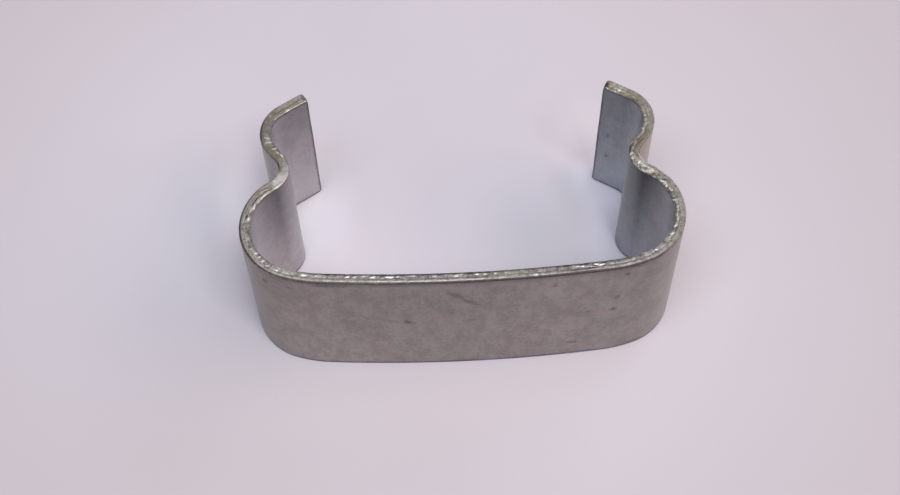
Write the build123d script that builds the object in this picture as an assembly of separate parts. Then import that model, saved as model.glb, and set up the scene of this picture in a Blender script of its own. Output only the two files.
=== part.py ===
from build123d import *
import os

# Fuel flap spring: one strip of flat spring steel, blanked to length and then bent on edge.
# Lengths are in millimetres and angles in degrees.
# The strip stands on one of its long sheared edges, +Z up. The bowed web faces -Y, and the two tabs
# that end the strip are at the back. The part is the same on the left and on the right.

# The blank, before any bend
strip_width = 16.0
strip_thickness = 1.0
corner_radius = 0.45

# The sheared edge that the blanking die leaves all round the strip
rollover_radius = 0.12
smooth_band = 0.38
fracture_depth = 0.05

# The bends of the right half, from the middle of the web to the end of the tab.
# Each radius is that of the hollow side of the bend.
web_bow_radius = 143.0
web_half_angle = 5.0
shoulder_radius = 11.8
shoulder_angle = 15.0
curl_radius = 4.3
curl_angle = 130.0
neck_radius = 1.4
neck_angle = 98.0
flank_length = 1.0
end_curl_radius = 2.35
end_curl_angle = 96.5
tab_length = 2.6


def half_face(offset):
    """One face of the right half of the strip, seen from above, as edges that meet without a kink.

    The edges start at the middle of the web and end at the tip of the tab. The face lies offset to the
    right of the strip's middle line, so the outside face has a positive offset.
    """
    bends = (
        (web_bow_radius, web_half_angle, 0),
        (shoulder_radius, shoulder_angle, 0),
        (curl_radius, curl_angle, 0),
        (neck_radius, -neck_angle, flank_length),
        (end_curl_radius, end_curl_angle, tab_length),
    )
    point = Vector(0, -offset)
    heading = Vector(1, 0)
    edges = []
    for hollow_radius, turn, straight in bends:
        side = 1 if turn > 0 else -1
        arc = JernArc(point, heading, hollow_radius + strip_thickness / 2 + side * offset, turn)
        edges.append(arc)
        point = arc @ 1
        heading = arc % 1
        if straight:
            run = Line(point, point + heading * straight)
            edges.append(run)
            point = run @ 1
    return edges


def plan():
    """The whole strip seen from above: both faces of the right half, the tab's end, and their mirror."""
    outside = half_face(strip_thickness / 2)
    inside = half_face(-strip_thickness / 2)
    tab_end = Line(outside[-1] @ 1, inside[-1] @ 1)
    right = outside + [tab_end] + inside
    left = [edge.mirror(Plane.YZ) for edge in right]
    return make_face(right + left)


def bent_strip():
    """The strip at its full width, with the four corners of the blank rounded."""
    strip = extrude(plan(), strip_width).clean()
    tab_heading = half_face(0)[-1] % 1
    corners = []
    for side in (1, -1):
        outwards = Vector(side * tab_heading.X, tab_heading.Y)
        tab_end = strip.faces().filter_by(lambda face: (face.normal_at() - outwards).length < 1e-6)[0]
        corners += tab_end.edges().filter_by(Axis.Z, reverse=True)
    return fillet(corners, corner_radius)


def shear_edges(strip):
    """Give the rim of the strip the section that a blanking die leaves.

    The rim rolls over into the outside face, runs straight across a smooth band where the punch cut,
    and falls back across the rest of the thickness, where the steel tore. Both cuts follow the rim
    round the rounded corners and along the ends, because it has no kink there.
    """
    top = strip.faces().sort_by(Axis.Z)[-1]
    outer_edge = top.edges().sort_by_distance((0, -strip_thickness / 2, strip_width))[0]
    strip = fillet(outer_edge, rollover_radius)
    top = strip.faces().sort_by(Axis.Z)[-1]
    inner_edge = top.edges().sort_by_distance((0, strip_thickness / 2, strip_width))[0]
    return chamfer(inner_edge, strip_thickness - smooth_band, fracture_depth, reference=top)


def flap_spring():
    """The finished spring, with its origin in the middle of its outline on the edge it stands on."""
    spring = shear_edges(bent_strip())
    return Pos(Y=-spring.bounding_box().center().Y) * spring


os.makedirs("parts", exist_ok=True)
export_step(flap_spring(), "parts/flap_spring.step")
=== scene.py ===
# %% [markdown]
# # Fuel flap spring
# The real object is one short strip of spring steel, dull with zinc, bent on edge into a clip.
# It lies on a pale table and is seen from above its bowed front. Blender makes only the looks here:
# the CAD model comes in first as a fixed frame, and everything below is built in its place and size.

# %% Load the CAD frame
import math

import bpy
import numpy as np
from mathutils import Matrix, Vector


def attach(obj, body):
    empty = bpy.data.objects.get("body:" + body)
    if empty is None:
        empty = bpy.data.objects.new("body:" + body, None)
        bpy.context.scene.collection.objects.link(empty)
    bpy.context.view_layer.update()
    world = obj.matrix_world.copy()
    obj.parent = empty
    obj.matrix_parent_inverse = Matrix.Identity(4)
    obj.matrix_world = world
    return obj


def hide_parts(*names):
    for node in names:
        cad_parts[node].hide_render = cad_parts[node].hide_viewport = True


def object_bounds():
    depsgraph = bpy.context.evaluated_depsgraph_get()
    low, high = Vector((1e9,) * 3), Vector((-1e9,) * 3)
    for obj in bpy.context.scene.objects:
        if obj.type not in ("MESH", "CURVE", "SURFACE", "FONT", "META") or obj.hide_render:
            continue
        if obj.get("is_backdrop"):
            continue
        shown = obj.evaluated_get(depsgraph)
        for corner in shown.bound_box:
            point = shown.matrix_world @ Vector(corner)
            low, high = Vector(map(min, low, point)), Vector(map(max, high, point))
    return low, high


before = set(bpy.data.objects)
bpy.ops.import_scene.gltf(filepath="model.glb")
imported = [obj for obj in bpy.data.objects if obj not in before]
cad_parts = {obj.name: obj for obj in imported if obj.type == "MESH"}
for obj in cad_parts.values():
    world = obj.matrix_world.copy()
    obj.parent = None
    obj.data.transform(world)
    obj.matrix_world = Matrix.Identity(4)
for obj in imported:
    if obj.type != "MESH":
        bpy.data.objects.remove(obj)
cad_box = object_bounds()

print("CAD box in metres:", [round(value, 5) for corner in cad_box for value in corner])

# %% [markdown]
# ## The strip's sizes
# A sheet-metal worker thinks of this part as a flat blank and a list of bends, so the scene does too,
# with the sizes of the CAD source. A point of steel has three coordinates in the blank: along the
# strip from its middle, up from the edge that it stands on, and out from the middle of the thickness.
# The bends carry it to its place. The same coordinates steer every material, so grain and stains bend
# with the steel.

# %% The blank and its bends
MM = 0.001
STRIP_WIDTH = 16.0
STRIP_THICKNESS = 1.0
BLANK_CORNER = 0.45
WEB_MIDDLE_Y = -9.468
# Each bend is (radius of the middle line, turn in degrees, straight length after it), from the middle
# of the web to the tip of the right tab. A negative turn bends the other way.
BENDS = (
    (143.5, 5.0, 0.0),
    (12.3, 15.0, 0.0),
    (4.8, 130.0, 0.0),
    (1.9, -98.0, 1.0),
    (2.85, 96.5, 2.6),
)


def walk(x, y, heading, curvature, distance):
    """The point and the heading at the end of a walk along an arc or a straight line."""
    curved = np.abs(curvature) > 0
    safe = np.where(curved, curvature, 1.0)
    turned = heading + curvature * distance
    ahead = np.where(curved, (np.sin(turned) - np.sin(heading)) / safe, distance * np.cos(heading))
    aside = np.where(curved, (np.cos(heading) - np.cos(turned)) / safe, distance * np.sin(heading))
    return x + ahead, y + aside, turned


def middle_line_spans():
    """The spans of the right half, each (start, x, y, heading, curvature), and the half's length."""
    spans, start, place = [], 0.0, (0.0, WEB_MIDDLE_Y, 0.0)
    for radius, turn, straight in BENDS:
        turn = math.radians(turn)
        for length, curvature in ((radius * abs(turn), math.copysign(1 / radius, turn)), (straight, 0.0)):
            if length:
                spans.append((start, *place, curvature))
                place = walk(*place, curvature, length)
                start += length
    return spans, start


SPANS, HALF_LENGTH = middle_line_spans()
print(f"blank: {2 * HALF_LENGTH:.2f} x {STRIP_WIDTH} x {STRIP_THICKNESS} mm, {len(SPANS)} spans each side")

# %% [markdown]
# ## Bending the blank
# Blender could bend a flat mesh with a Curve modifier, but its twist and its spacing along the curve
# are hard to control at a bend as tight as this one's neck. The bend is only a little trigonometry,
# so it is done directly: find the span that a point belongs to, walk along it, step out sideways.

# %% A function that bends points
def bend(along, up, out):
    """Carry points of the flat blank, in mm, to their place on the bent strip, in metres."""
    distance = np.abs(along)
    index = np.searchsorted([span[0] for span in SPANS], distance, side="right") - 1
    start, *place, curvature = (np.array(column)[index] for column in zip(*SPANS))
    x, y, turned = walk(*place, curvature, distance - start)
    x = np.where(along < 0, -1, 1) * (x + out * np.sin(turned))
    return np.stack([x, y - out * np.cos(turned), up], axis=-1) * MM


tip = bend(np.array([HALF_LENGTH]), np.array([STRIP_WIDTH]), np.array([0.0]))[0]
print("tip of the right tab in mm:", (tip / MM).round(3))

# %% [markdown]
# ## The camera
# The camera stands above the front of the clip and looks down steeply, as in the photograph. Its lens,
# place and tilt were found by matching the strip's corners and outlines to the picture. It is made
# before the piece, because it decides how much detail is worth modelling: one pixel is about 0.1 mm.

# %% The camera
CAMERA_PLACE = (-2.9, -73.3, 138.7)
CAMERA_ELEVATION = 61.45
CAMERA_YAW = -1.44
CAMERA_ROLL = -1.38
CAMERA_LENS = 65.5


def add_object(name, data):
    """A new object in the scene."""
    made = bpy.data.objects.new(name, data)
    bpy.context.scene.collection.objects.link(made)
    return made


camera_data = bpy.data.cameras.new("camera")
camera_data.sensor_width = 36.0
camera_data.lens = CAMERA_LENS
camera_data.clip_start = 0.01
camera_data.clip_end = 10.0
camera = add_object("camera", camera_data)
turns = (
    Matrix.Rotation(math.radians(CAMERA_YAW), 3, "Z")
    @ Matrix.Rotation(math.radians(90 - CAMERA_ELEVATION), 3, "X")
    @ Matrix.Rotation(math.radians(CAMERA_ROLL), 3, "Z")
)
camera.rotation_euler = turns.to_euler()
camera.location = Vector(CAMERA_PLACE) * MM
bpy.context.scene.camera = camera
print("camera at", [round(value, 4) for value in camera.location])

# %% [markdown]
# ## The sheared edge
# The blank was punched out of a coil, and a punched edge has three zones. The outer corner rolls over
# where the punch first pressed. A smooth band follows where it cut. Over the rest of the thickness the
# steel tore, so there it slopes back and is rough, and small chips are missing from the last corner.
# These widths differ along the strip, because the tight bends stretched and squeezed the edge. A few
# values placed along the strip and joined by straight lines are enough to say how.

# %% How the zones change along the strip
ROLLOVER = 0.12
TORN_SLOPE = 0.05
# Each list gives a place along the strip in mm from its middle, then values in hundredths.
# Share of the thickness that is smooth:
SMOOTH_SHARE = (
    (-38.3, 70), (-34.5, 68), (-32.5, 45), (-29.6, 60), (-28.6, 84), (-26.6, 84), (-25.8, 50), (-16, 46),
    (0, 47), (14, 46), (22, 52), (26.5, 36), (29.5, 48), (34, 60), (38.3, 55),
)
# Width of the rolled corner in mm:
ROLL_WIDTH = (
    (-38.3, 10), (-34, 12), (-29.2, 18), (-26.4, 10), (-22, 15), (-19, 18), (-16, 17), (-8, 15), (6, 16),
    (12, 16), (16.5, 16.5), (19, 18), (26, 15), (29.3, 34), (31.2, 12), (38.3, 10),
)
# Depth in mm of the roughness where the steel tore:
TORN_DEPTH = (
    (-38.3, 2.2), (-33, 1.6), (-31.5, 3.6), (-29.5, 2), (-27.4, 0.6), (-25.8, 3), (-22, 2.4), (-20, 5),
    (-15.5, 5), (-13, 3.4), (0, 3), (5, 1.8), (9, 3.4), (16, 4.4), (24, 5.4), (28, 5), (33, 3), (38.3, 3),
)


def along_strip(keys, along):
    """The value of a list at those places along the strip, or each of its values."""
    places, *columns = zip(*keys)
    values = [np.interp(along, places, column) / 100 for column in columns]
    return values if len(values) > 1 else values[0]


print("smooth share at the middle:", along_strip(SMOOTH_SHARE, 0.0))

# %% [markdown]
# ## Marks on the sheared edge
# Some marks on this edge are too plain to leave to chance: a bright line that the punch polished,
# with a painted highlight on it, dashes of bright metal, partly rubbed ridges and partly painted
# glints, and dark slots under them, partly dirt and partly painted shade. They are listed one by one
# from left to right, and each is a small soft bar. Shorter lists say how light and how olive the steel
# is, which is partly its own tone and partly painted light and shade, and how strong the lines along
# it are. The dark lines along both corners are painted shade.

# %% The marks, listed one by one
# Light share of the outer half, light share of the inner half, and olive share. They are partly the
# steel's own tone and partly painted light and shade, lighter where the edge faces the lamps and darker
# where it is in shade:
EDGE_TONES = (
    (-38.3, 46, 10, 50), (-37, 44, 4, 80), (-34.6, 12, 0, 90), (-33.6, 2, 0, 30), (-32.4, 4, 16, 20),
    (-31.4, 5, 20, 100), (-29.9, 4, 20, 100), (-29.2, 22, 32, 20), (-28.2, 40, 70, 10), (-27, 100, 100, 0),
    (-26.4, 40, 46, 40), (-25.4, 14, 24, 50), (-22.4, 8, 22, 30), (-21.4, 4, 4, 20), (-20.4, 18, 24, 30),
    (-18, 26, 34, 20), (-16.5, 36, 62, 30), (-15, 34, 74, 50), (-12.5, 18, 40, 20), (-9.4, 12, 50, 60),
    (-5.5, 11, 36, 10), (-3, 30, 42, 0), (-1.5, 3, 50, 10), (1, 10, 30, 20), (4.6, 27, 30, 60),
    (9, 0, 18, 10), (10.6, 0, 26, 20), (14, 16, 30, 0), (15.6, 26, 52, 10), (19, 18, 38, 40),
    (21.5, 18, 26, 50), (24.2, 20, 24, 50), (25.5, 10, 0, 60), (26.3, 28, 16, 60), (27.5, 80, 34, 100),
    (28.4, 12, 16, 50), (30, 0, 30, 100), (31.5, 0, 32, 80), (33.2, 14, 56, 70), (34.2, 10, 14, 80),
    (35.2, 12, 0, 100), (36.2, 22, 0, 100), (36.9, 56, 18, 80), (38.3, 46, 12, 80),
)
# Strength of the bright line that follows the rolled corner, a polished band with a painted highlight:
BRIGHT_LINE = (
    (-26.6, 0), (-25.8, 35), (-22.4, 30), (-21, 5), (-16, 15), (-14.2, 120), (-10, 160), (-8, 200),
    (-5.4, 180), (-4.4, 120), (-3.4, 180), (0.5, 170), (3, 120), (4.6, 35), (5.6, 70), (7.5, 50), (9.2, 20),
    (11, 40), (13.6, 45), (16.5, 25), (18.5, 0),
)
# Strength of the dark line on the rolled corner, which is painted shade:
DARK_LINE = (
    (-38.3, 15), (-35, 8), (-34, 60), (-32.6, 100), (-31.6, 50), (-30.4, 60), (-29, 90), (-28, 36),
    (-26.8, 75), (-25.6, 52), (-22, 98), (-17, 94), (-9, 84), (-4, 92), (5, 98), (12, 94), (16.5, 96),
    (19.5, 36), (26, 10), (28, 36), (29, 36), (32, 14), (36, 35), (38.3, 55),
)
# Strength of the dark line along the last corner, next to the inside face, which is painted shade:
INNER_LINE = (
    (-38.3, 50), (-34, 60), (-30, 50), (-28, 30), (-26.5, 42), (-24.2, 52), (-22.5, 38), (-19.2, 65),
    (-17.2, 72), (-16.4, 25), (-14.6, 15), (-13.8, 95), (-8, 100), (1.5, 100), (3, 78), (6, 82), (8, 100),
    (13, 84), (14.8, 62), (16, 12), (18.5, 12), (20, 78), (23, 72), (25.5, 60), (28, 55), (34, 75),
    (36.4, 78), (38.3, 22),
)
# Strength of the line where the tear began:
TEAR_MARK = (
    (-38.3, 30), (-24, 45), (-20, 30), (-15, 60), (14, 60), (18, 28), (26, 28), (32, 45), (38.3, 30),
)
# Each mark is (place along in mm, depth below the outside face, length and width in hundredths of a
# mm, strength in hundredths), and some have a slant in degrees.
# The bright marks are partly rubbed metal and partly painted glints; the strong one at 5.9 is a painted
# highlight.
GLEAMS = (
    (-38, 90, 30, 12, 60), (-36.4, 89, 340, 8, 34), (-36.2, 87, 40, 12, 60), (-34.7, 86, 30, 11, 50),
    (-32.3, 62, 50, 12, 50, 70), (-31.8, 60, 60, 14, 65, 80), (-30.9, 76, 40, 15, 70, 60),
    (-30.4, 72, 30, 12, 50, 60), (-29.9, 80, 35, 15, 90), (-27.3, 44, 140, 56, 42),
    (-25.3, 83, 90, 16, 52, 3), (-24.65, 82, 50, 12, 45), (-23.95, 80, 60, 15, 75, 15),
    (-22.6, 74, 35, 14, 70, -15), (-22.5, 38, 80, 9, 45), (-18.8, 80, 30, 12, 85, 60),
    (-18.3, 76, 30, 11, 70, 65), (-17.9, 60, 50, 9, 45, 65), (-17.1, 70, 50, 9, 38, 65),
    (-16.3, 56, 60, 9, 24, 65), (-15.1, 62, 70, 10, 24, 5), (-13.8, 72, 45, 14, 95), (-12.7, 76, 40, 10, 55),
    (-10.1, 72, 38, 14, 90, 20), (-9.4, 74, 40, 13, 75, 10), (-8.7, 76, 30, 11, 55),
    (-7.9, 72, 45, 14, 90, 15), (-6.5, 72, 70, 17, 100), (-5.8, 74, 30, 12, 70, 10), (-2.6, 74, 25, 10, 40),
    (-0.8, 75, 40, 12, 65, 10), (-0.4, 80, 30, 10, 45), (0.95, 76, 25, 15, 65), (1.6, 71, 35, 14, 65),
    (2.5, 74, 20, 17, 75), (3.45, 76, 35, 12, 50), (5.9, 29, 38, 22, 100), (6.9, 27, 60, 8, 45),
    (9.55, 76, 45, 14, 60, 5), (9.95, 72, 28, 16, 72), (10.65, 28, 75, 11, 35), (11.1, 26, 30, 13, 40),
    (11.2, 77, 55, 13, 70, -12), (11.65, 69, 55, 13, 70, 8), (13.85, 30, 40, 14, 70),
    (16.65, 76, 30, 11, 50, -30), (18.2, 66, 40, 11, 45, -60), (18.9, 78, 35, 11, 65, -50),
    (19.75, 80, 30, 13, 38, -20), (20.6, 74, 30, 15, 50), (21.8, 70, 30, 11, 32, -40),
    (22.55, 70, 50, 14, 55, 80), (24.27, 78, 30, 13, 42, -40), (24.75, 70, 70, 14, 50, 25),
    (25.5, 9, 130, 13, 26), (26.9, 82, 35, 13, 55, -15), (27.6, 50, 80, 24, 15, -40),
    (28.6, 84, 35, 14, 48, -30), (31.35, 84, 25, 16, 70, 60), (33, 82, 25, 11, 45),
    (36.75, 50, 70, 10, 40, 85), (37.1, 84, 30, 12, 35), (37.9, 84, 22, 12, 60),
)
# The dark marks are partly dirt in the slots and partly painted shade in the chips by the inside corner.
DARKS = (
    (-38.05, 45, 40, 90, 70), (-36.2, 66, 380, 26, 52), (-34.4, 75, 140, 40, 44), (-33.4, 60, 160, 50, 40),
    (-33, 24, 200, 32, 42), (-33, 11, 240, 18, 95), (-30.6, 24, 190, 30, 32), (-30.6, 88, 80, 9, 55),
    (-30.4, 50, 120, 10, 45, -8), (-29, 12, 130, 13, 100), (-28.5, 25, 110, 20, 50),
    (-26.3, 60, 150, 14, 60, -21), (-26.1, 69, 100, 12, 80, -13), (-25.3, 25, 90, 14, 60),
    (-24.6, 56, 180, 12, 85), (-24, 15, 260, 16, 65), (-22.75, 53, 45, 20, 100, -5),
    (-22.3, 45, 70, 12, 75, -6), (-21.9, 58, 50, 10, 60, 12), (-21.2, 76, 55, 8, 75),
    (-20.9, 13, 360, 14, 75), (-19.3, 50, 50, 9, 65, 65), (-19.2, 17, 160, 14, 75),
    (-18.55, 74, 40, 9, 85, 60), (-18.1, 86, 30, 10, 80, 40), (-17.6, 72, 50, 9, 80, 65),
    (-17, 56, 50, 8, 55, 65), (-16, 62, 50, 8, 60, 60), (-12.9, 88, 40, 15, 95), (-10.2, 87, 45, 20, 100, 15),
    (-9.5, 87, 50, 17, 100), (-8, 87, 60, 18, 100, 10), (-6.4, 87, 120, 19, 100), (-3.3, 88, 150, 12, 70),
    (-1.9, 88, 50, 10, 60), (1.6, 92, 200, 8, 65), (4.4, 93, 200, 8, 55), (6, 13, 120, 14, 100),
    (7, 90, 90, 8, 45), (8.15, 44, 40, 10, 60), (9.3, 36, 150, 26, 62), (9.75, 40, 30, 40, 50, 20),
    (9.75, 89, 80, 20, 100), (9.9, 27, 260, 36, 50), (10.6, 45, 120, 14, 95, 2), (10.6, 34, 130, 42, 62),
    (10.8, 90, 50, 11, 80), (11.65, 87, 100, 18, 100), (12.5, 48, 35, 8, 70), (13.3, 92, 80, 14, 72),
    (14.6, 91, 150, 14, 62), (18.6, 90, 50, 13, 85), (19.5, 93, 140, 12, 85), (20.5, 86, 90, 12, 80),
    (20.95, 66, 35, 12, 75), (21.3, 88, 35, 12, 95), (21.9, 88, 120, 12, 85), (24, 88, 30, 14, 80),
    (24.4, 86, 20, 14, 80, 60), (25.4, 92, 80, 11, 75), (25.5, 45, 100, 20, 42), (25.7, 60, 90, 36, 36),
    (26.4, 92, 60, 11, 80), (27.3, 68, 60, 12, 95, -39), (28.25, 32, 50, 12, 80, 25),
    (28.42, 86, 30, 10, 80, -60), (29.05, 91, 80, 20, 100), (29.4, 20, 260, 40, 40, 5),
    (29.5, 84, 35, 14, 90, -20), (29.9, 38, 130, 15, 75, -11), (29.9, 36, 280, 46, 42),
    (30.2, 24, 120, 24, 42), (30.9, 40, 90, 10, 50, 25), (33, 85, 140, 16, 48), (33.6, 90, 130, 11, 75),
    (35.3, 72, 280, 50, 46), (35.6, 90, 60, 11, 55), (37.4, 70, 140, 45, 12), (38, 55, 30, 60, 100, 15),
)


def edge_marks(listed, along, depth):
    """How strongly the marks of a list cover each point of the edge, from 0 to 1."""
    total = np.zeros(np.broadcast(along, depth).shape)
    for middle, middle_depth, length, width, strength, *slant in listed:
        turn = math.radians(sum(slant))
        ahead, inside = along - middle, depth - middle_depth / 100
        on_length = (ahead * math.cos(turn) + inside * math.sin(turn)) / (length / 200)
        on_width = (inside * math.cos(turn) - ahead * math.sin(turn)) / (width / 200)
        total = np.maximum(total, strength / 100 * np.exp(-(on_length**4 + on_width**4)))
    return total


print("marks:", len(GLEAMS), "bright and", len(DARKS), "dark")

# %% [markdown]
# ## The rim of the blank
# The outline is a rectangle with four small round corners. Its points run round the rim once, each
# with its place in the blank and the direction that faces out of the steel. The long sides have a
# point every 0.08 mm, a little under a pixel of the picture, so the torn edge can be real shape. The
# strip is straight from edge to edge, so a few rows are enough there.

# %% Points round the rim
COLUMNS = 960
ROWS = 14
CORNER_STEPS = 5
# Heights of the first rows in mm above the corner
NEAR_ROWS = (0.0, 0.04, 0.12, 0.26, 0.5)


def column_places():
    """Places of the columns from end to end: even on the long sides, closer round the corners."""
    straight = HALF_LENGTH - BLANK_CORNER
    even = np.linspace(-straight, straight, COLUMNS - 2 * CORNER_STEPS + 1)
    facing = np.cos(np.radians(np.linspace(90, 0, CORNER_STEPS + 1)[1:]))
    towards_end = np.concatenate([-facing[::-1], np.zeros(len(even)), facing])
    return np.pad(even, CORNER_STEPS, mode="edge") + BLANK_CORNER * towards_end, towards_end


def row_heights():
    """Heights of the rows: close together near the two long edges, even between them."""
    near = np.array(NEAR_ROWS)
    far = STRIP_WIDTH - 2 * BLANK_CORNER - near[::-1]
    middle = np.linspace(near[-1], far[0], ROWS + 1 - 2 * (len(near) - 1))
    return BLANK_CORNER + np.concatenate([near[:-1], middle, far[1:]])


def rim():
    """Points round the rim as arrays: along, up, and the outward direction in both."""
    places, end_facing = column_places()
    up_facing = np.sqrt(np.clip(1 - end_facing**2, 0, 1))
    rise = BLANK_CORNER * (up_facing - 1)
    heights = row_heights()[1:-1]
    end, level = np.ones(len(heights)), np.zeros(len(heights))
    right = (HALF_LENGTH * end, heights, end, level)
    left = (-HALF_LENGTH * end, heights[::-1], -end, level)
    bottom = (places, -rise, end_facing, -up_facing)
    top = (places[::-1], STRIP_WIDTH + rise[::-1], end_facing[::-1], up_facing[::-1])
    return [np.concatenate(column) for column in zip(bottom, right, top, left)]


RIM_ALONG, RIM_UP, RIM_FACE_ALONG, RIM_FACE_UP = rim()
RIM_STEPS = np.hypot(np.diff(RIM_ALONG, append=RIM_ALONG[:1]), np.diff(RIM_UP, append=RIM_UP[:1]))
RIM_PLACE = np.concatenate([[0.0], np.cumsum(RIM_STEPS)[:-1]])
RIM_LENGTH = RIM_STEPS.sum()
print(f"rim: {len(RIM_ALONG)} points over {RIM_LENGTH:.1f} mm, spacing {np.median(RIM_STEPS):.3f} mm")

# %% [markdown]
# ## Seeded waves
# The tear and its chips are irregular, but the script must give the same piece each time. A wave is
# a row of random heights from a seeded generator, joined smoothly and closed round the rim, so it has
# no seam. Rows of waves side by side give ridges and grains, and a wave cut off at a level gives chips.

# %% Waves round the rim
def eased(position):
    """The whole number below each position, and a smooth share of the way to the next."""
    lower = np.floor(position).astype(int)
    share = position - lower
    return lower, share * share * (3 - 2 * share)


def wave(spacing, seed):
    """Smooth random heights from 0 to 1 at the rim's points, about one every spacing mm, as a column."""
    count = max(4, int(round(RIM_LENGTH / spacing)))
    heights = np.random.default_rng(seed).random(count)
    lower, share = eased(RIM_PLACE / RIM_LENGTH * count)
    return (heights[lower % count] * (1 - share) + heights[(lower + 1) % count] * share)[:, None]


def wave_field(spacing, across, layer, seed):
    """Waves over the edge's surface: one row of waves every layer mm across it, joined smoothly."""
    lower, share = eased(across / layer)
    total = np.zeros(across.shape)
    for row in range(int(lower.min()), int(lower.max()) + 2):
        weight = np.where(lower == row, 1 - share, 0) + np.where(lower + 1 == row, share, 0)
        total += weight * wave(spacing, seed + row)
    return total


print("a wave:", wave(1.0, seed=3)[:6, 0].round(2))

# %% [markdown]
# ## The section of the edge at each point
# A section is the line that a cut across the edge would show, from the flat outside face to the flat
# inside face. A swept profile would be the same everywhere, so the section is worked out anew at
# each point of the rim instead: a rolled corner, a flat band, a fine groove where the tear began, a
# slope with ridges, and a last corner that is chipped. All of it lies inside the plain blank.

# %% Depth and place of the edge's section
ROLL_STEPS = 6
BAND_STEPS = 7
TORN_STEPS = 15
ROLL_ANGLES = np.radians(np.linspace(0, 90, ROLL_STEPS + 1))
# Factors for the roll's depth, a mark's relief, hollows, slots on the band and last corner, and chips
ROLL_SHARE = 0.6
BAR_RELIEF = 0.4
HOLLOW_SHARE = 1.6
BAND_SLOT = 0.6
LAST_SLOT = 0.3
CHIP_LEVEL = 0.62
CHIP_DRIFT = 0.35
CHIP_EASE = 0.3
CHIP_SHARE = 0.4
CORNER_SHARE = 0.5
# All in mm
TEAR_WANDER = 0.06
TEAR_START = 0.06
GROOVE_DEPTH = 0.02
GROOVE_MIDDLE = 0.04
GROOVE_WIDTH = 0.05
LAST_ZONE = 0.86
LAST_EASE = 0.12
LAST_CORNER = 0.02
CHIP_LENGTH = 0.34
CHIP_SIZE = 0.055
GLEAM_HEIGHT = 0.02
DARK_DEPTH = 0.032
FULL_ROUGHNESS = 0.05


def step(value, width):
    """A mask that is 0 below zero, 1 from the width on, and even between them."""
    return np.clip(value / width, 0, 1)


def bell(value, width, power=2):
    """A mask that is 1 at zero and fades away on both sides."""
    return np.exp(-((value / width) ** power))


def ridges(across):
    """Height of the torn surface at each point of the section, from 0 to 1."""
    long_dashes = wave_field(0.42, across, 0.16, seed=100)
    cross_ridges = wave_field(0.21, across, 0.55, seed=200)
    grains = wave_field(0.13, across, 0.09, seed=300)
    return 0.42 * long_dashes + 0.38 * cross_ridges + 0.20 * grains


ALONG = RIM_ALONG[:, None]
UPPER = (RIM_FACE_UP > 0.3)[:, None]
TEAR = along_strip(SMOOTH_SHARE, ALONG) + TEAR_WANDER * (wave(0.9, seed=21) - 0.5)
TEAR_STRENGTH = along_strip(TEAR_MARK, ALONG)
ROLL = along_strip(ROLL_WIDTH, ALONG)
ROUGH = along_strip(TORN_DEPTH, ALONG)
LIVELY = ROUGH / FULL_ROUGHNESS
chips = wave(CHIP_LENGTH, seed=12) - CHIP_LEVEL + CHIP_DRIFT * (wave(1.9, seed=11) - 0.5)
CHIP = LIVELY * step(chips, CHIP_EASE)

# Where the section's points lie across the thickness, from the outside face to the inside face
half = STRIP_THICKNESS / 2
tear = half - STRIP_THICKNESS * TEAR
last = LAST_CORNER + CHIP_SIZE * CHIP - half
rolled = half - ROLL * (1 - np.cos(ROLL_ANGLES))
band = rolled[:, -1:] + (tear - rolled[:, -1:]) * np.linspace(0, 1, BAND_STEPS + 1)[1:]
torn = tear + (last - tear) * np.linspace(0, 1, TORN_STEPS + 1)[1:]
OUT = np.hstack([rolled, band, torn, np.full(ALONG.shape, -half)])
DEPTH = half - OUT

# Marks, tear and relief at those points
GLEAM_BARS = UPPER * edge_marks(GLEAMS, ALONG, DEPTH)
DARK_BARS = UPPER * edge_marks(DARKS, ALONG, DEPTH)
TORN = step(DEPTH - TEAR, TEAR_START)
RELIEF = ridges(OUT)
near_last = step(DEPTH - LAST_ZONE, LAST_EASE)

# How far each point of the section lies inside the plain blank
height = np.clip(RELIEF + BAR_RELIEF * (GLEAM_BARS - DARK_BARS), 0, 1)
slot = DARK_DEPTH * DARK_BARS**2
fall = TORN_SLOPE * np.clip(DEPTH - TEAR, 0, 1) / (1 - TEAR)
groove = GROOVE_DEPTH * TEAR_STRENGTH * bell(DEPTH - TEAR - GROOVE_MIDDLE, GROOVE_WIDTH)
carved = fall + groove + HOLLOW_SHARE * ROUGH * (1 - height)
carved = carved + slot * (1 - (1 - LAST_SLOT) * near_last)
carved = TORN * np.clip(carved - GLEAM_HEIGHT * GLEAM_BARS, 0, 1)
carved = carved + (1 - TORN) * BAND_SLOT * slot + CHIP_SHARE * CHIP_SIZE * CHIP * near_last**2
rolled = np.maximum(ROLLOVER, ROLL_SHARE * ROLL) * (1 - np.sin(ROLL_ANGLES))
INWARD = np.hstack([rolled, carved[:, ROLL_STEPS + 1:]])
INWARD[:, -1:] = INWARD[:, -2:-1] + LAST_CORNER + CORNER_SHARE * CHIP_SIZE * CHIP
print(f"section: {INWARD.shape[1]} points, from {INWARD.min():.3f} to {INWARD.max():.3f} mm inside the blank")

# %% [markdown]
# ## Masks for the edge's finish
# Dirt, wear and painted light follow shape: the crests of the tear are rubbed bright and carry painted
# glints, the hollows hold dirt and painted shade, the start of the tear holds dirt, and both corners get
# painted shade. So the masks that steer the finish come from the same section. The painted shade on the
# rolled corner touches the face along the web, but starts a little in from it on the curls and the tabs.
# The ends of the tabs are darker towards the top.

# %% Four masks: gleam, dirt, light and olive
CREST_GLEAM = 0.28
CREST = 0.60
HOLLOW_DIRT_AND_SHADE = 0.75
HOLLOW = 0.42
GRIME = 0.45
STREAK_TONE = 0.34
GRAIN_TONE = 0.44
RELIEF_TONE = 0.50
OLIVE_DRIFT = 0.5
# Painted shade of the rolled corner at the face by distance from the middle, and darkening of the tabs'
# ends by height
FACE_SHADE = ((14.0, 17.5), (0.75, 0.10))
END_DARKENING = ((2.0, 11.0, 14.5), (0.50, 0.75, 1.0))
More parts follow.
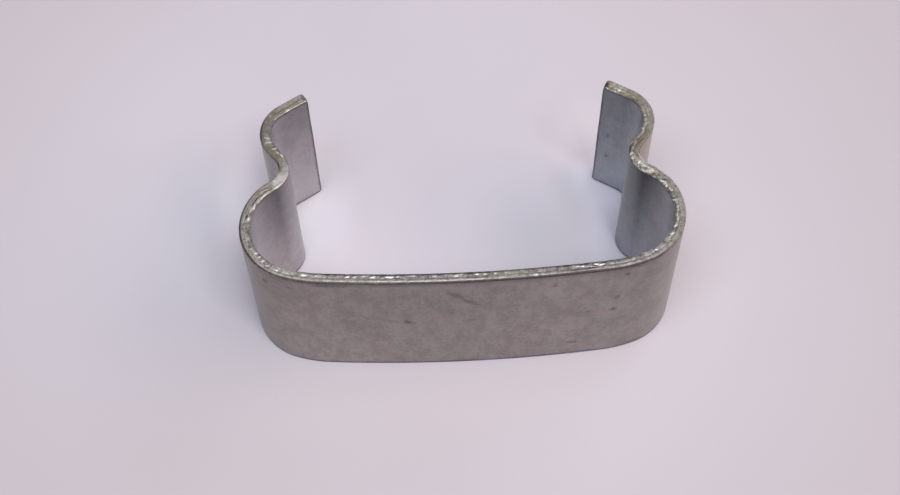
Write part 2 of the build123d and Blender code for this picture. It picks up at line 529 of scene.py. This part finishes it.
# In mm: place and width of the bright line, the tear's line and the rubbed belt, start of the inner line
LINE_DEPTH = 0.10
LINE_WIDTH = 0.048
TEAR_LINE_DEPTH = 0.02
TEAR_LINE_WIDTH = 0.045
BELT_DEPTH = 0.72
BELT_WIDTH = 0.18
INNER_DEPTH = 0.77
STREAKS = wave_field(0.19, DEPTH, 0.34, seed=400)
GRAINS = wave_field(0.17, DEPTH, 0.11, seed=500)
BROKEN = 0.25 + 0.75 * np.clip(1.6 * wave(0.45, seed=31) - 0.35, 0, 1)


def gleam_mask():
    """Rubbed metal and painted glints: bright bars, the broken bright line, crests in the tear's middle."""
    line = UPPER * np.clip(along_strip(BRIGHT_LINE, ALONG) * BROKEN, 0, 1)
    line = line * bell(DEPTH - ROLL - LINE_DEPTH, LINE_WIDTH, power=4)
    crests = CREST_GLEAM * LIVELY * TORN * step(RELIEF - CREST, 0.12)
    crests = crests * bell(DEPTH - BELT_DEPTH, BELT_WIDTH)
    return np.maximum.reduce([GLEAM_BARS, line, crests])


def dirt_and_shade_mask():
    """Dirt and painted shade: dark bars, both corners' shade, the tear's line, darker ends, hollows, grime.
    """
    at_face = np.interp(np.abs(ALONG), *FACE_SHADE)
    outer = along_strip(DARK_LINE, ALONG) * step(1.25 * ROLL - DEPTH, 0.05)
    outer = outer * np.clip(at_face + DEPTH / (0.5 * ROLL), 0, 1)
    tear = TEAR_STRENGTH * bell(DEPTH - TEAR - TEAR_LINE_DEPTH, TEAR_LINE_WIDTH) * (0.3 + 0.7 * BROKEN)
    teeth = 0.12 * (wave(0.30, seed=51) - 0.5)
    inner = along_strip(INNER_LINE, ALONG) * step(DEPTH - INNER_DEPTH - teeth, 0.08) * (0.8 + 0.2 * BROKEN)
    ends = np.abs(RIM_FACE_ALONG) * np.interp(RIM_UP, *END_DARKENING)
    inner = np.maximum(inner, ends[:, None])
    hollows = HOLLOW_DIRT_AND_SHADE * LIVELY * TORN * step(HOLLOW - RELIEF, 0.12)
    grime = GRIME * step(0.40 - 0.5 * STREAKS - 0.5 * GRAINS, 0.25)
    return np.maximum.reduce([DARK_BARS, outer, tear, inner, hollows, grime])


def tone_masks():
    """How light and olive the steel is, with painted light and shade, streaks, grains and the tear's relief.
    """
    outer, inner, olive = along_strip(EDGE_TONES, ALONG)
    inside = step(DEPTH - 0.35, 0.3)
    light = outer * (1 - inside) + inner * inside
    light = light + STREAK_TONE * (STREAKS - 0.5) + GRAIN_TONE * (GRAINS - 0.5)
    # Painted light and shade of the relief: the tear's crests are lighter and its hollows darker.
    light = light + RELIEF_TONE * TORN * (RELIEF - 0.5)
    return light, olive + OLIVE_DRIFT * (wave(1.3, seed=41) - 0.5)


LIGHT, OLIVE = tone_masks()
EDGE_MASKS = {"gleam": gleam_mask(), "dirt": dirt_and_shade_mask(), "light": LIGHT, "olive": OLIVE}
for mask_name, mask in EDGE_MASKS.items():
    EDGE_MASKS[mask_name] = np.broadcast_to(np.clip(mask, 0, 1), OUT.shape)
    print("mask", mask_name, "on average", EDGE_MASKS[mask_name].mean().round(2))

# %% [markdown]
# ## From points to a mesh
# The two broad faces are grids whose border lies on the first and last ring of the edge section.
# Quads between neighbouring rings close the edge, so the piece is one watertight skin, as the real
# strip is one piece of steel. Building it from arrays keeps control of each vertex, which a bevel
# and a displace modifier wouldn't. Every vertex also gets a tone, which changes along the strip and from
# its foot to its top. It is partly the plating's own tone and partly painted light and shade.

# %% The strip's skin
# Brightness at the foot, at the top, and coolness, which is a warmth below 0. Both lists mix the plating's
# tone with painted light and shade: the inside is lighter towards its foot, where it takes light from the
# table, and darker and cooler towards the right end, where it is in shade:
OUTSIDE_TONES_AND_LIGHT = (
    (-38.3, 110, 101, 0), (-31, 109, 98, 0), (-24, 89, 80, -40), (-18, 86, 74, -60), (-16, 108, 89, -40),
    (-14, 111, 95, -10), (-12, 115, 88, 0), (-9, 109, 88, 0), (-5, 103, 91, 0), (0, 103, 89, 0),
    (4, 106, 91, 0), (8, 109, 98, 0), (12, 107, 94, 0), (15, 100, 86, -30), (17, 101, 85, -40),
    (19, 112, 102, -40), (26, 105, 96, -60), (31, 163, 149, -100), (38.3, 131, 120, -60),
)
INSIDE_TONES_AND_LIGHT = (
    (-38.3, 142, 81, 0), (-36.5, 131, 77, 0), (-35, 137, 85, 0), (-34, 148, 93, 0), (-33, 175, 121, 0),
    (-32.4, 170, 111, 0), (-30.2, 136, 76, 0), (-29, 125, 67, 0), (-28, 124, 77, 0), (-27, 139, 79, 0),
    (-25.5, 151, 76, 0), (-24, 143, 79, 0), (-22, 170, 100, 0), (-12, 178, 100, 0), (10, 178, 100, 20),
    (14, 142, 80, 60), (20, 135, 76, 60), (24, 126, 69, 40), (25.2, 142, 58, 40), (26.2, 146, 58, 70),
    (27.2, 105, 46, 80), (28.2, 68, 34, 80), (29.2, 76, 37, 60), (30.4, 104, 58, 90), (33.5, 124, 70, 100),
    (35.5, 122, 70, 100), (38.3, 110, 62, 100),
)
TONE_FOOT = 1.0
TONE_RISE = 14.0


def face_tones_and_light(along, up, out):
    """Brightness and coolness of the plated faces at points of the blank, with painted light and shade."""
    height = step(up - TONE_FOOT, TONE_RISE)
    found = []
    for keys in (OUTSIDE_TONES_AND_LIGHT, INSIDE_TONES_AND_LIGHT):
        foot, top, cool = along_strip(keys, along)
        found.append((foot * (1 - height) + top * height, cool))
    return np.where(out < 0, found[1], found[0])


def rim_ring(inward):
    """Along and up of the rim's points, moved into the steel."""
    return RIM_ALONG - inward * RIM_FACE_ALONG, RIM_UP - inward * RIM_FACE_UP


def face_grid(inward):
    """Blank coordinates of one broad face, in rows and columns inside its rounded border."""
    height = ((row_heights() - BLANK_CORNER) / (STRIP_WIDTH - 2 * BLANK_CORNER))[:, None]
    grids = []
    for values in rim_ring(inward):
        bottom, right, top, left = np.split(values, np.cumsum([COLUMNS + 1, ROWS - 1, COLUMNS + 1]))
        grid = bottom * (1 - height) + top[::-1] * height
        grid[1:-1, -1] = right
        grid[1:-1, 0] = left[::-1]
        grids.append(grid)
    return grids


def face_numbers(first):
    """Vertex numbers of a face grid whose first vertex has that number."""
    return first + np.arange((COLUMNS + 1) * (ROWS + 1)).reshape(ROWS + 1, COLUMNS + 1)


def border(number):
    """Vertex numbers of a face grid's border, in the order of the rim's points."""
    return np.concatenate([number[0], number[1:-1, -1], number[-1][::-1], number[1:-1, 0][::-1]])


def grid_quads(number):
    """Quads of a face grid."""
    corners = [number[:-1, :-1], number[:-1, 1:], number[1:, 1:], number[1:, :-1]]
    return np.stack([corner.ravel() for corner in corners], axis=1)


outer, inner = face_grid(INWARD[:, 0]), face_grid(INWARD[:, -1])
side = np.full(outer[0].shape, half)
rings = [(*rim_ring(inward), out) for inward, out in zip(INWARD.T[1:-1], OUT.T[1:-1])]
parts = [(*outer, side), *rings, (*inner, -side)]
BLANK = np.stack([np.concatenate([values.ravel() for values in axis]) for axis in zip(*parts)], axis=1)

rim_size = len(RIM_ALONG)
outer_numbers, inner_numbers = face_numbers(0), face_numbers(side.size + len(rings) * rim_size)
loops = [side.size + k * rim_size + np.arange(rim_size) for k in range(len(rings))]
loops = [border(outer_numbers), *loops, border(inner_numbers)]
quads = [np.stack([near, far, np.roll(far, -1), np.roll(near, -1)], axis=1)
         for near, far in zip(loops[:-1], loops[1:])]
QUADS = np.concatenate([grid_quads(outer_numbers), *quads, grid_quads(inner_numbers)[:, ::-1]])

MASKS = {mask_name: np.zeros(len(BLANK)) for mask_name in EDGE_MASKS}
for mask_name, mask in EDGE_MASKS.items():
    for loop, values in zip(loops, mask.T):
        MASKS[mask_name][loop] = values
MASKS["tone"], MASKS["cool"] = face_tones_and_light(*BLANK.T)
print(f"skin: {len(BLANK)} vertices, {2 * len(QUADS)} triangles")

# %% [markdown]
# ## The mesh object
# The blank's own coordinates are kept on the vertices as an attribute, in mm. A material can read it
# like any texture coordinate, and it stays true when the piece is exported or seen from behind.

# %% Make the piece
mesh = bpy.data.meshes.new("spring_strip")
mesh.from_pydata(bend(*BLANK.T).tolist(), [], QUADS.tolist())
mesh.shade_smooth()
place = mesh.attributes.new("place", "FLOAT_VECTOR", "POINT")
place.data.foreach_set("vector", BLANK.astype(np.float32).ravel())
for mask_name, values in MASKS.items():
    mask = mesh.attributes.new(mask_name, "FLOAT", "POINT")
    mask.data.foreach_set("value", values.astype(np.float32))
spring = add_object("spring_strip", mesh)

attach(spring, "root")
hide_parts("flap_spring")
visual_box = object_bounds()
print("visual box in metres:", [round(value, 5) for corner in visual_box for value in corner])

# %% [markdown]
# ## Small helpers for shader nodes
# A material is a small network of nodes. These helpers add a node and fill its inputs from numbers
# or from other nodes, in the tree that those nodes belong to. An effect that is needed more than once
# is built as a node group with named sockets, and each use sets its own values.

# %% Node helpers
def is_socket(value):
    """Whether a value is a node's output, and not a plain number or colour."""
    return isinstance(value, bpy.types.NodeSocket)


def fill(socket, value):
    """Join an input to another node's output, or set it to a plain value."""
    if is_socket(value):
        socket.id_data.links.new(value, socket)
    else:
        socket.default_value = value


def add_node(kind, inputs, tree=None, **options):
    """Add a shader node, set its options and fill its inputs. Its tree is that of the inputs' nodes."""
    if tree is None:
        tree = next(value.id_data for value in inputs.values() if is_socket(value))
    made = tree.nodes.new("ShaderNode" + kind)
    for option, value in options.items():
        setattr(made, option, value)
    for name, value in inputs.items():
        fill(made.inputs[name], value)
    return made


def calculate(operation, *values):
    """The output of a Math node on those values."""
    return add_node("Math", dict(enumerate(values)), operation=operation).outputs[0]


def times(one, other):
    """The product of two values."""
    return calculate("MULTIPLY", one, other)


def swayed(value, tone, amount):
    """The value moved up and down by a tone of 0 to 1, by at most half the amount each way."""
    return calculate("MULTIPLY_ADD", calculate("SUBTRACT", tone, 0.5), amount, value)


def ramp(value, low, high, to_low=0.0, to_high=1.0):
    """The value moved smoothly from low..high to to_low..to_high, and held outside."""
    inputs = {"Value": value, "From Min": low, "From Max": high, "To Min": to_low, "To Max": to_high}
    return add_node("MapRange", inputs, interpolation_type="SMOOTHSTEP").outputs[0]


def mix_colors(share, first, second, how="MIX"):
    """One colour laid over another by a share from 0 to 1."""
    return add_node("Mix", {0: share, 6: first, 7: second}, data_type="RGBA", blend_type=how).outputs[2]


def noise(place, scale, detail, roughness=0.5):
    """A soft noise of 0 to 1, with scale in waves to a unit of the place."""
    inputs = {"Vector": place, "Scale": scale, "Detail": detail, "Roughness": roughness}
    return add_node("TexNoise", inputs).outputs[0]


def scaled(vector, amount):
    """A vector made longer or shorter."""
    return add_node("VectorMath", {0: vector, "Scale": amount}, operation="SCALE").outputs[0]


def oval_distance(place, middle, size, slant=(0, 0, 0)):
    """The distance from an oval's middle, which is 1 on its border."""
    inputs = {"Vector": place, "Location": middle, "Rotation": slant, "Scale": size}
    local = add_node("Mapping", inputs, vector_type="TEXTURE").outputs[0]
    return add_node("VectorMath", {0: local}, operation="LENGTH").outputs["Value"]


def new_group(name, output, **inputs):
    """An empty node group with a Place and the named inputs: its tree, its inputs and its one output."""
    tree = bpy.data.node_groups.new(name, "ShaderNodeTree")
    for socket, value in {"Place": (0, 0, 0), **inputs}.items():
        kind = "NodeSocketVector" if isinstance(value, tuple) else "NodeSocketFloat"
        tree.interface.new_socket(name=socket, in_out="INPUT", socket_type=kind).default_value = value
    tree.interface.new_socket(name=output, in_out="OUTPUT", socket_type="NodeSocketFloat")
    return tree, tree.nodes.new("NodeGroupInput").outputs, tree.nodes.new("NodeGroupOutput").inputs[0]


def use_group(group, place, **values):
    """The output of a node group at that place in the blank, with its other values set."""
    return add_node("Group", {"Place": place, **values}, node_tree=group).outputs[0]


def new_material(name):
    """A material, its node tree and the inputs of its surface."""
    material = bpy.data.materials.new(name)
    material.use_nodes = True
    return material, material.node_tree, material.node_tree.nodes["Principled BSDF"].inputs


def stored(tree, name, output="Fac"):
    """What the vertices carry under that name."""
    return add_node("Attribute", {}, tree, attribute_name=name).outputs[output]


def bump(surface, height, strength, depth):
    """Let a height from 0 to 1 tilt the surface, as if it were that many mm deep."""
    inputs = {"Strength": strength, "Distance": depth * MM, "Height": height}
    fill(surface["Normal"], add_node("Bump", inputs).outputs[0])


print("helpers ready")

# %% [markdown]
# ## Clouds in the zinc
# Zinc plating is never one even grey. Where the bath ran unevenly the tone drifts over a few
# millimetres. One noise, stretched more or less along the strip, gives that drift, and the same
# group with small sizes gives the fine lines that the rollers left along the steel.

# %% Group: clouds
# Size is in mm, and Stretch makes the patches longer along the strip.
CLOUDS, given, tone = new_group("zinc clouds", "Tone", Size=4.0, Stretch=1.0, Detail=2.0, Roughness=0.5)
shrink = calculate("DIVIDE", 1.0, given["Size"])
shrink_along = calculate("DIVIDE", shrink, given["Stretch"])
scale = add_node("CombineXYZ", {"X": shrink_along, "Y": shrink, "Z": shrink}).outputs[0]
shrunk = add_node("VectorMath", {0: given["Place"], 1: scale}, operation="MULTIPLY").outputs[0]
fill(tone, ramp(noise(shrunk, 1.0, given["Detail"], given["Roughness"]), 0.36, 0.64))


def clouds(place, size, stretch=1.0, detail=2.0, roughness=0.5):
    """The tone of clouds of that size in mm."""
    return use_group(CLOUDS, place, Size=size, Stretch=stretch, Detail=detail, Roughness=roughness)


print("group:", CLOUDS.name)

# %% [markdown]
# ## Stains and rubs
# The plated face has a few dull smears and dark spots from handling. Each is a soft oval in the
# blank's coordinates with a ragged border. A painted picture would need an image file. An oval with
# a place, a size and a slant is enough, and the group is used once for each mark.

# %% Group: one stain
# Middle and Size are in mm along, up and out, and Slant turns the mark on the face.
STAIN, given, mask = new_group(
    "stain", "Mask", Middle=(0, 0, 0), Size=(1, 1, 1), Slant=(0, 0, 0), Ragged=0.5)
distance = oval_distance(given["Place"], given["Middle"], given["Size"], given["Slant"])
ragged = swayed(distance, noise(given["Place"], 2.2, detail=3.0), times(given["Ragged"], 3.0))
fill(mask, ramp(ragged, 1.25, 0.35))
print("group:", STAIN.name)

# %% [markdown]
# ## Specks
# Both finishes carry tiny dark specks, where dirt sits in a pit of the plating. A cell texture gives
# one random point for each cell, and only the cells with a high random value get a speck.

# %% Group: specks
# Spacing and Width are in mm, and Few is the share of cells that stay bare.
SPECKS, given, mask = new_group("specks", "Mask", Spacing=0.8, Width=0.1, Few=0.7)
shrink = calculate("DIVIDE", 1.0, given["Spacing"])
cells = add_node("TexVoronoi", {"Vector": scaled(given["Place"], shrink), "Scale": 1.0}).outputs
lot = add_node("SeparateXYZ", {0: cells["Color"]}).outputs[0]
full = times(times(given["Width"], shrink), 0.5)
near = ramp(cells["Distance"], times(full, 2.0), full)
fill(mask, times(near, calculate("GREATER_THAN", lot, given["Few"])))
print("group:", SPECKS.name)

# %% [markdown]
# ## The dark margin
# Along the edges of the broad faces runs a thin dark line. It is partly dirt held by the burr and
# partly painted shade along the rolled corner. Its mask is the distance to the nearest border of the
# blank, so it follows the whole outline without any drawing. It is wider at the foot, where it is painted
# contact shade of the clip standing on the table, and a little noise keeps it uneven. With a wider
# reach the same group gives a soft darker band under the upper edge of the web's outside, where the
# thin line fades out.

# %% Group: margin
# Far and Near are the distances in mm from the blank's border where the line starts and is full.
MARGIN, given, mask = new_group("border line", "Mask", Far=0.4, Near=0.15)
along, up, _ = add_node("SeparateXYZ", {0: given["Place"]}).outputs
above = calculate("SUBTRACT", STRIP_WIDTH, up)
beyond = calculate("SUBTRACT", HALF_LENGTH, calculate("ABSOLUTE", along))
nearest = calculate("MINIMUM", calculate("MINIMUM", above, times(up, 0.75)), beyond)
nearest = swayed(nearest, noise(given["Place"], 0.9, detail=2.0), 0.25)
fill(mask, ramp(nearest, given["Far"], given["Near"]))
print("group:", MARGIN.name)

# %% [markdown]
# ## The plated face
# The broad faces are cold-rolled steel with a thin dull coat of zinc. Up close they show a mottle of
# many sizes, some of it a trace pinker and some a trace greener, a few smears and spots, and the dark
# margin of dirt and painted shade. The outside of the bend is darker than the inside. Lists along the
# strip say how bright and how cool the face is, partly the plating's own tone and partly painted light
# and shade, and the lowest millimetre is a trace bluer.
# The metal is nearly all reflection, so the tone is a metal colour and the dullness is in the roughness.

# %% Material: plated face
OUTER_PINK = (0.36, 0.314, 0.299, 1)
OUTER_GREEN = (0.34, 0.326, 0.29, 1)
INNER_PINK = (0.427, 0.391, 0.4, 1)
INNER_GREEN = (0.405, 0.402, 0.392, 1)
COOL_TINT = (0.9, 0.99, 1.04, 1)
WARM_TINT = (1, 0.965, 0.89, 1)
FOOT_TINT = (0.94, 0.95, 1.13, 1)
STAIN_COLOR = (0.11, 0.09, 0.08, 1)
MARGIN_DIRT_AND_SHADE_COLOR = (0.078, 0.056, 0.098, 1)
FACE_METAL = 0.9
FACE_ROUGHNESS = (0.28, 0.38)
MOTTLE_DEPTH = 0.40
INNER_MOTTLE_DEPTH = 0.26
SPECK_STRENGTH = 0.35
LINE_STRENGTH = 0.72
WEB_BAND = 0.36
CURL_BAND = 0.02
BAND_ENDS = (18.0, 14.5)
TOP_BAND = (14.4, 15.0)
FOOT_BAND = (1.1, 0.1)
# Each stain is (middle along and up in mm, half length and height in hundredths of a mm, slant in
# degrees, strength in hundredths).
OUTER_STAINS = (
    (-0.9, 13.6, 140, 50, -48, 62), (0.3, 12.3, 130, 40, -38, 60), (-1.3, 10.3, 50, 20, 0, 70),
    (-5.1, 8.7, 70, 42, -25, 80), (-6.9, 9, 120, 35, -15, 35), (0.5, 8.7, 60, 36, 0, 45),
    (-17.2, 14.1, 30, 50, -20, 95), (-14.9, 14.5, 40, 28, 0, 60), (-16.1, 13.8, 60, 34, 0, 35),
    (13.8, 14.8, 28, 50, 0, 85), (13.2, 10.7, 28, 60, 0, 65), (13, 8.4, 34, 40, 0, 80),
    (10.8, 8.5, 36, 30, 0, 60), (9.6, 2.5, 60, 28, 0, 70), (7.6, 14.3, 34, 56, 0, 50),
    (1.4, 8, 40, 240, 0, 30), (3.6, 10.8, 150, 50, 10, 35), (-6.2, 1.2, 60, 50, 0, 35),
    (-11.5, 15.6, 220, 34, 0, 60), (-16.5, 15.7, 150, 25, 0, 45), (-6.8, 15.7, 180, 24, 0, 40),
    (4.5, 15.7, 160, 24, 0, 30), (14.5, 15.7, 150, 24, 0, 40), (-24.6, 1.2, 30, 80, 0, 45),
)
INNER_STAINS = (
    (37.2, 8.7, 25, 40, 0, 55), (37, 5.2, 25, 40, 0, 60), (-37.4, 13.2, 90, 160, 0, 20),
    (36.4, 12, 40, 60, 0, 25), (-26, 11, 60, 350, 0, 15), (-36.9, 2.6, 220, 420, 0, 10),
)


def stained(place, dirt):
    """The dirt with every stain of both faces added."""
    for out, stains in ((half, OUTER_STAINS), (-half, INNER_STAINS)):
        for along, up, length, height, slant, strength in stains:
            mark = use_group(STAIN, place, Middle=(along, up, out), Size=(length / 100, height / 100, 0.4),
                             Slant=(0, 0, math.radians(slant)), Ragged=0.6)
            dirt = calculate("MAXIMUM", dirt, times(mark, strength / 100))
    return dirt


PLATED, tree, surface = new_material("plated face")
place = stored(tree, "place", "Vector")
along, up, out = add_node("SeparateXYZ", {0: place}).outputs
outside = ramp(out, -0.2, 0.2)
mottle = clouds(place, 2.4, stretch=0.6, detail=5.0, roughness=0.88)
lines = clouds(place, 0.10, stretch=18.0)
grain = clouds(place, 0.16, detail=1.0)

pink = mix_colors(outside, INNER_PINK, OUTER_PINK)
green = mix_colors(outside, INNER_GREEN, OUTER_GREEN)
color = mix_colors(clouds(place, 1.8, stretch=0.7, detail=1.0), pink, green)
depth = ramp(out, -0.2, 0.2, INNER_MOTTLE_DEPTH, MOTTLE_DEPTH)
shade = times(calculate("SUBTRACT", 1.0, mottle), depth)
shade = swayed(swayed(shade, clouds(place, 6.0, stretch=1.3), -0.08), grain, -0.07)
specks = use_group(SPECKS, place, Spacing=1.9, Width=0.24, Few=0.78)
dirt = stained(place, times(specks, SPECK_STRENGTH))
color = mix_colors(calculate("MAXIMUM", shade, dirt), color, STAIN_COLOR)

# The cool and warm tints follow the lists above, and so carry part of their painted light and shade.
cool = stored(tree, "cool")
warm, foot = ramp(cool, 0.0, -1.0), ramp(up, *FOOT_BAND)
for amount, hue in ((cool, COOL_TINT), (warm, WARM_TINT), (foot, FOOT_TINT)):
    color = mix_colors(amount, color, mix_colors(1.0, color, hue, "MULTIPLY"))
color = scaled(color, stored(tree, "tone"))

outer_top = times(outside, ramp(up, *TOP_BAND))
# The thin dark line: dirt and painted shade, wider at the foot as painted contact shade.
line = use_group(MARGIN, place, Far=0.38, Near=0.12)
line = times(line, calculate("MULTIPLY_ADD", outer_top, -LINE_STRENGTH, LINE_STRENGTH))
# A soft darker band under the top of the web's outside.
dark_band = use_group(MARGIN, place, Far=0.85, Near=0.10)
web = ramp(calculate("ABSOLUTE", along), *BAND_ENDS, CURL_BAND, WEB_BAND)
dark_band = times(times(dark_band, web), outer_top)
fill(surface["Base Color"], mix_colors(calculate("MAXIMUM", line, dark_band), color, MARGIN_DIRT_AND_SHADE_COLOR))
fill(surface["Metallic"], FACE_METAL)
fill(surface["Roughness"], ramp(calculate("MULTIPLY_ADD", mottle, 0.4, lines), 0.0, 1.4, *FACE_ROUGHNESS))
bump(surface, calculate("MULTIPLY_ADD", lines, 0.5, grain), strength=0.35, depth=0.004)
print("material:", PLATED.name, len(tree.nodes), "nodes")

# %% [markdown]
# ## The sheared edge's finish
# The edge is steel that the punch cut and tore before it was plated, so it is brighter and yellower
# than the faces. Four masks, made with the shape, say where it is light, olive, dirty or freshly
# rubbed, and they carry painted light and shade too: highlights and glints in the bright mask, shade
# along the corners and in the hollows in the dark one, and light and shade along the strip in the light
# one. The material lays those colours over each other and adds only what is finer than the mesh: grit,
# faint drag marks across the edge, and dark specks. The dark parts, dirt and painted shade alike, are
# less of a metal than clean steel.

# %% Material: sheared edge
GREY_METAL = (0.262, 0.23, 0.219, 1)
OLIVE_METAL = (0.264, 0.232, 0.164, 1)
LIGHT_METAL = (0.66, 0.61, 0.57, 1)
GLEAM_COLOR = (0.98, 0.94, 0.91, 1)
DIRT_AND_SHADE_COLOR = (0.028, 0.02, 0.021, 1)
EDGE_ROUGHNESS = (0.32, 0.50)
CLEAN_METAL = 0.9
DIRT_AND_SHADE_METAL = 0.30
DIRT_AND_SHADE_COVER = 0.94
EDGE_SHINE = 0.15

SHEARED, tree, surface = new_material("sheared edge")
place = stored(tree, "place", "Vector")
gleam = stored(tree, "gleam")
drag = clouds(place, 0.34, stretch=0.30)
grit = clouds(place, 0.08, stretch=1.3, detail=1.0)
specks = use_group(SPECKS, place, Spacing=0.40, Width=0.11, Few=0.80)

light = swayed(swayed(stored(tree, "light"), drag, 0.12), grit, 0.26)
# Dirt and painted shade of the corners and hollows, with the specks.
dark = calculate("MAXIMUM", stored(tree, "dirt"), times(specks, 0.4))
color = mix_colors(stored(tree, "olive"), GREY_METAL, OLIVE_METAL)
color = mix_colors(light, color, LIGHT_METAL)
color = mix_colors(times(dark, DIRT_AND_SHADE_COVER), color, DIRT_AND_SHADE_COLOR)
# The gleam colour is partly rubbed metal and partly painted glints and highlights.
fill(surface["Base Color"], mix_colors(gleam, color, GLEAM_COLOR))
dirt_and_shade_share = times(dark, calculate("SUBTRACT", 1.0, gleam))
fill(surface["Metallic"], ramp(dirt_and_shade_share, 0.0, 1.0, CLEAN_METAL, DIRT_AND_SHADE_METAL))
rough = ramp(calculate("ADD", grit, dark), 0.0, 2.0, *EDGE_ROUGHNESS)
fill(surface["Roughness"], calculate("MULTIPLY_ADD", gleam, -0.10, rough))
fill(surface["Specular IOR Level"], EDGE_SHINE)
bump(surface, calculate("MULTIPLY_ADD", grit, 1.2, drag), strength=0.4, depth=0.008)

spring.data.materials.append(PLATED)
spring.data.materials.append(SHEARED)
face_quads = COLUMNS * ROWS
finish_of_quad = np.zeros(len(QUADS), dtype=np.int32)
finish_of_quad[face_quads:-face_quads] = 1
spring.data.polygons.foreach_set("material_index", finish_of_quad)
print("material:", SHEARED.name, "on", finish_of_quad.sum(), "quads of the rim")

# %% [markdown]
# ## The table
# The object lies on a pale lilac sheet. It is only a stage, so it is one large plane with a matt
# material. Its tone drifts a little, and a painted shade darkens it softly away from the object, where
# the light falls off. Bright metal also throws soft pools of light beside it, stronger than these lamps
# give, so they are painted in as wide ovals that fade from the middle and have no edge. A few of the
# ovals are painted shadow instead.

# %% The pale floor
FLOOR_SIZE = 1.5
FLOOR_LIGHT = (0.665, 0.604, 0.662, 1)
FLOOR_DARK = (0.64, 0.582, 0.64, 1)
# Painted shade: the sheet gets darker away from the object, where the light falls off.
FLOOR_FAR_SHADE = (0.588, 0.522, 0.562, 1)
FAR_MIDDLE = (-0.006, 0.005, 0)
FAR_STARTS = 0.022
FAR_FULL = 0.060
# Each painted pool of light or painted shade is (middle x and y, half width and depth in mm, then its
# factors for red, green and blue in hundredths).
PAINTED_POOLS_AND_SHADES = (
    (-13.4, 6.6, 3.9, 6.8, 118, 123, 126), (14.2, 7.4, 3.4, 4.8, 148, 153, 153),
    (14.2, 1.6, 3, 3.6, 112, 117, 119), (12.6, 13.4, 3.4, 5.6, 120, 119, 118),
    (-21.2, 6.5, 2.8, 10, 122, 122, 118), (-25.5, 10.5, 5, 8, 93, 95, 96), (6.5, 3, 6.5, 6, 93, 95, 95),
    (-15, 4.6, 2, 6, 105, 112, 112),
)

reach = FLOOR_SIZE / 2
corners = [(-reach, -reach, 0), (reach, -reach, 0), (reach, reach, 0), (-reach, reach, 0)]
floor_mesh = bpy.data.meshes.new("floor")
floor_mesh.from_pydata(corners, [], [(0, 1, 2, 3)])
material, tree, surface = new_material("pale floor")
place = add_node("TexCoord", {}, tree).outputs["Object"]
away = add_node("VectorMath", {0: place, 1: FAR_MIDDLE}, operation="DISTANCE").outputs["Value"]
color = mix_colors(ramp(noise(place, 30.0, detail=2.0), 0.3, 0.7), FLOOR_DARK, FLOOR_LIGHT)
color = mix_colors(ramp(away, FAR_STARTS, FAR_FULL), color, FLOOR_FAR_SHADE)
on_table = scaled(place, 1 / MM)
for x, y, width, depth, *tint in PAINTED_POOLS_AND_SHADES:
    lit = mix_colors(1.0, color, (*(part / 100 for part in tint), 1), "MULTIPLY")
    from_middle = oval_distance(on_table, (x, y, 0), (width, depth, 1))
    color = mix_colors(ramp(from_middle, 1.2, 0.0), color, lit)
fill(surface["Base Color"], color)
fill(surface["Roughness"], 0.9)
fill(surface["Specular IOR Level"], 0.2)
floor_mesh.materials.append(material)
floor = add_object("floor", floor_mesh)
floor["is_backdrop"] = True
print("floor:", FLOOR_SIZE, "m across")

# %% [markdown]
# ## Light
# The photograph was taken in a room, under soft light from several sides: a wide lamp on the ceiling,
# a smaller and stronger one over the photographer's right shoulder, daylight from above the left, a
# warm lamp low on the right, and a cool window low behind. The shadow on the left is bluish because
# the warm lamp doesn't reach it. Each is one square soft box that points at the object. Together they
# light the table at a plain level, at which a colour comes out about as it is written.

# %% Lamps
# Each lamp is (name, degrees round from the right, degrees above the table, size in metres, watts, colour)
LAMP_DISTANCE = 0.9
LAMPS = (
    ("ceiling lamp", 0, 88, 0.54, 1.44, (0.91, 0.98, 1.00)),
    ("main lamp", 300, 65, 0.28, 3.25, (0.99, 1.00, 0.95)),
    ("daylight", 230, 70, 0.34, 2.42, (0.78, 0.87, 1.00)),
    ("warm lamp", 355, 42, 0.50, 1.55, (1.00, 0.60, 0.40)),
    ("low window", 45, 26, 0.60, 2.16, (0.70, 0.85, 1.00)),
)

for name, turn, rise, size, power, color in LAMPS:
    lamp_data = bpy.data.lights.new(name, "AREA")
    lamp_data.size = size
    lamp_data.energy = power
    lamp_data.color = color
    turn, rise = math.radians(turn), math.radians(rise)
    direction = Vector((math.cos(turn) * math.cos(rise), math.sin(turn) * math.cos(rise), math.sin(rise)))
    lamp = add_object(name, lamp_data)
    lamp.location = direction * LAMP_DISTANCE
    lamp.rotation_euler = (-direction).to_track_quat("-Z", "Y").to_euler()
print("lamps:", [lamp[0] for lamp in LAMPS])

# %% [markdown]
# ## The room
# The camera and the metal see a plain pale room, so the background is pale in every view and the
# steel has something to reflect. The same world gives only a little even light to the matt surfaces,
# because a bright room would wash out the soft shadow. Light Path tells the two kinds of ray apart.

# %% World
ROOM_COLOR = (0.97, 0.94, 1.00, 1.0)
ROOM_SEEN = 0.50
ROOM_LIGHT = 0.12

room = bpy.data.worlds.new("room")
room.use_nodes = True
path = add_node("LightPath", {}, room.node_tree).outputs
seen = calculate("MAXIMUM", path["Is Camera Ray"], path["Is Glossy Ray"])
seen = calculate("MAXIMUM", seen, path["Is Transmission Ray"])
background = room.node_tree.nodes["Background"].inputs
fill(background["Color"], ROOM_COLOR)
fill(background["Strength"], calculate("MULTIPLY_ADD", seen, ROOM_SEEN - ROOM_LIGHT, ROOM_LIGHT))
bpy.context.scene.world = room
bpy.context.scene.view_settings.view_transform = "Standard"
print("world: seen at", ROOM_SEEN, "and lights at", ROOM_LIGHT)

# %% Compare the boxes and finish
final_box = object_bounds()
widest = max(abs(a - b) for one, other in zip(cad_box, final_box) for a, b in zip(one, other))
print(f"largest difference between the boxes: {widest / MM:.3f} mm")
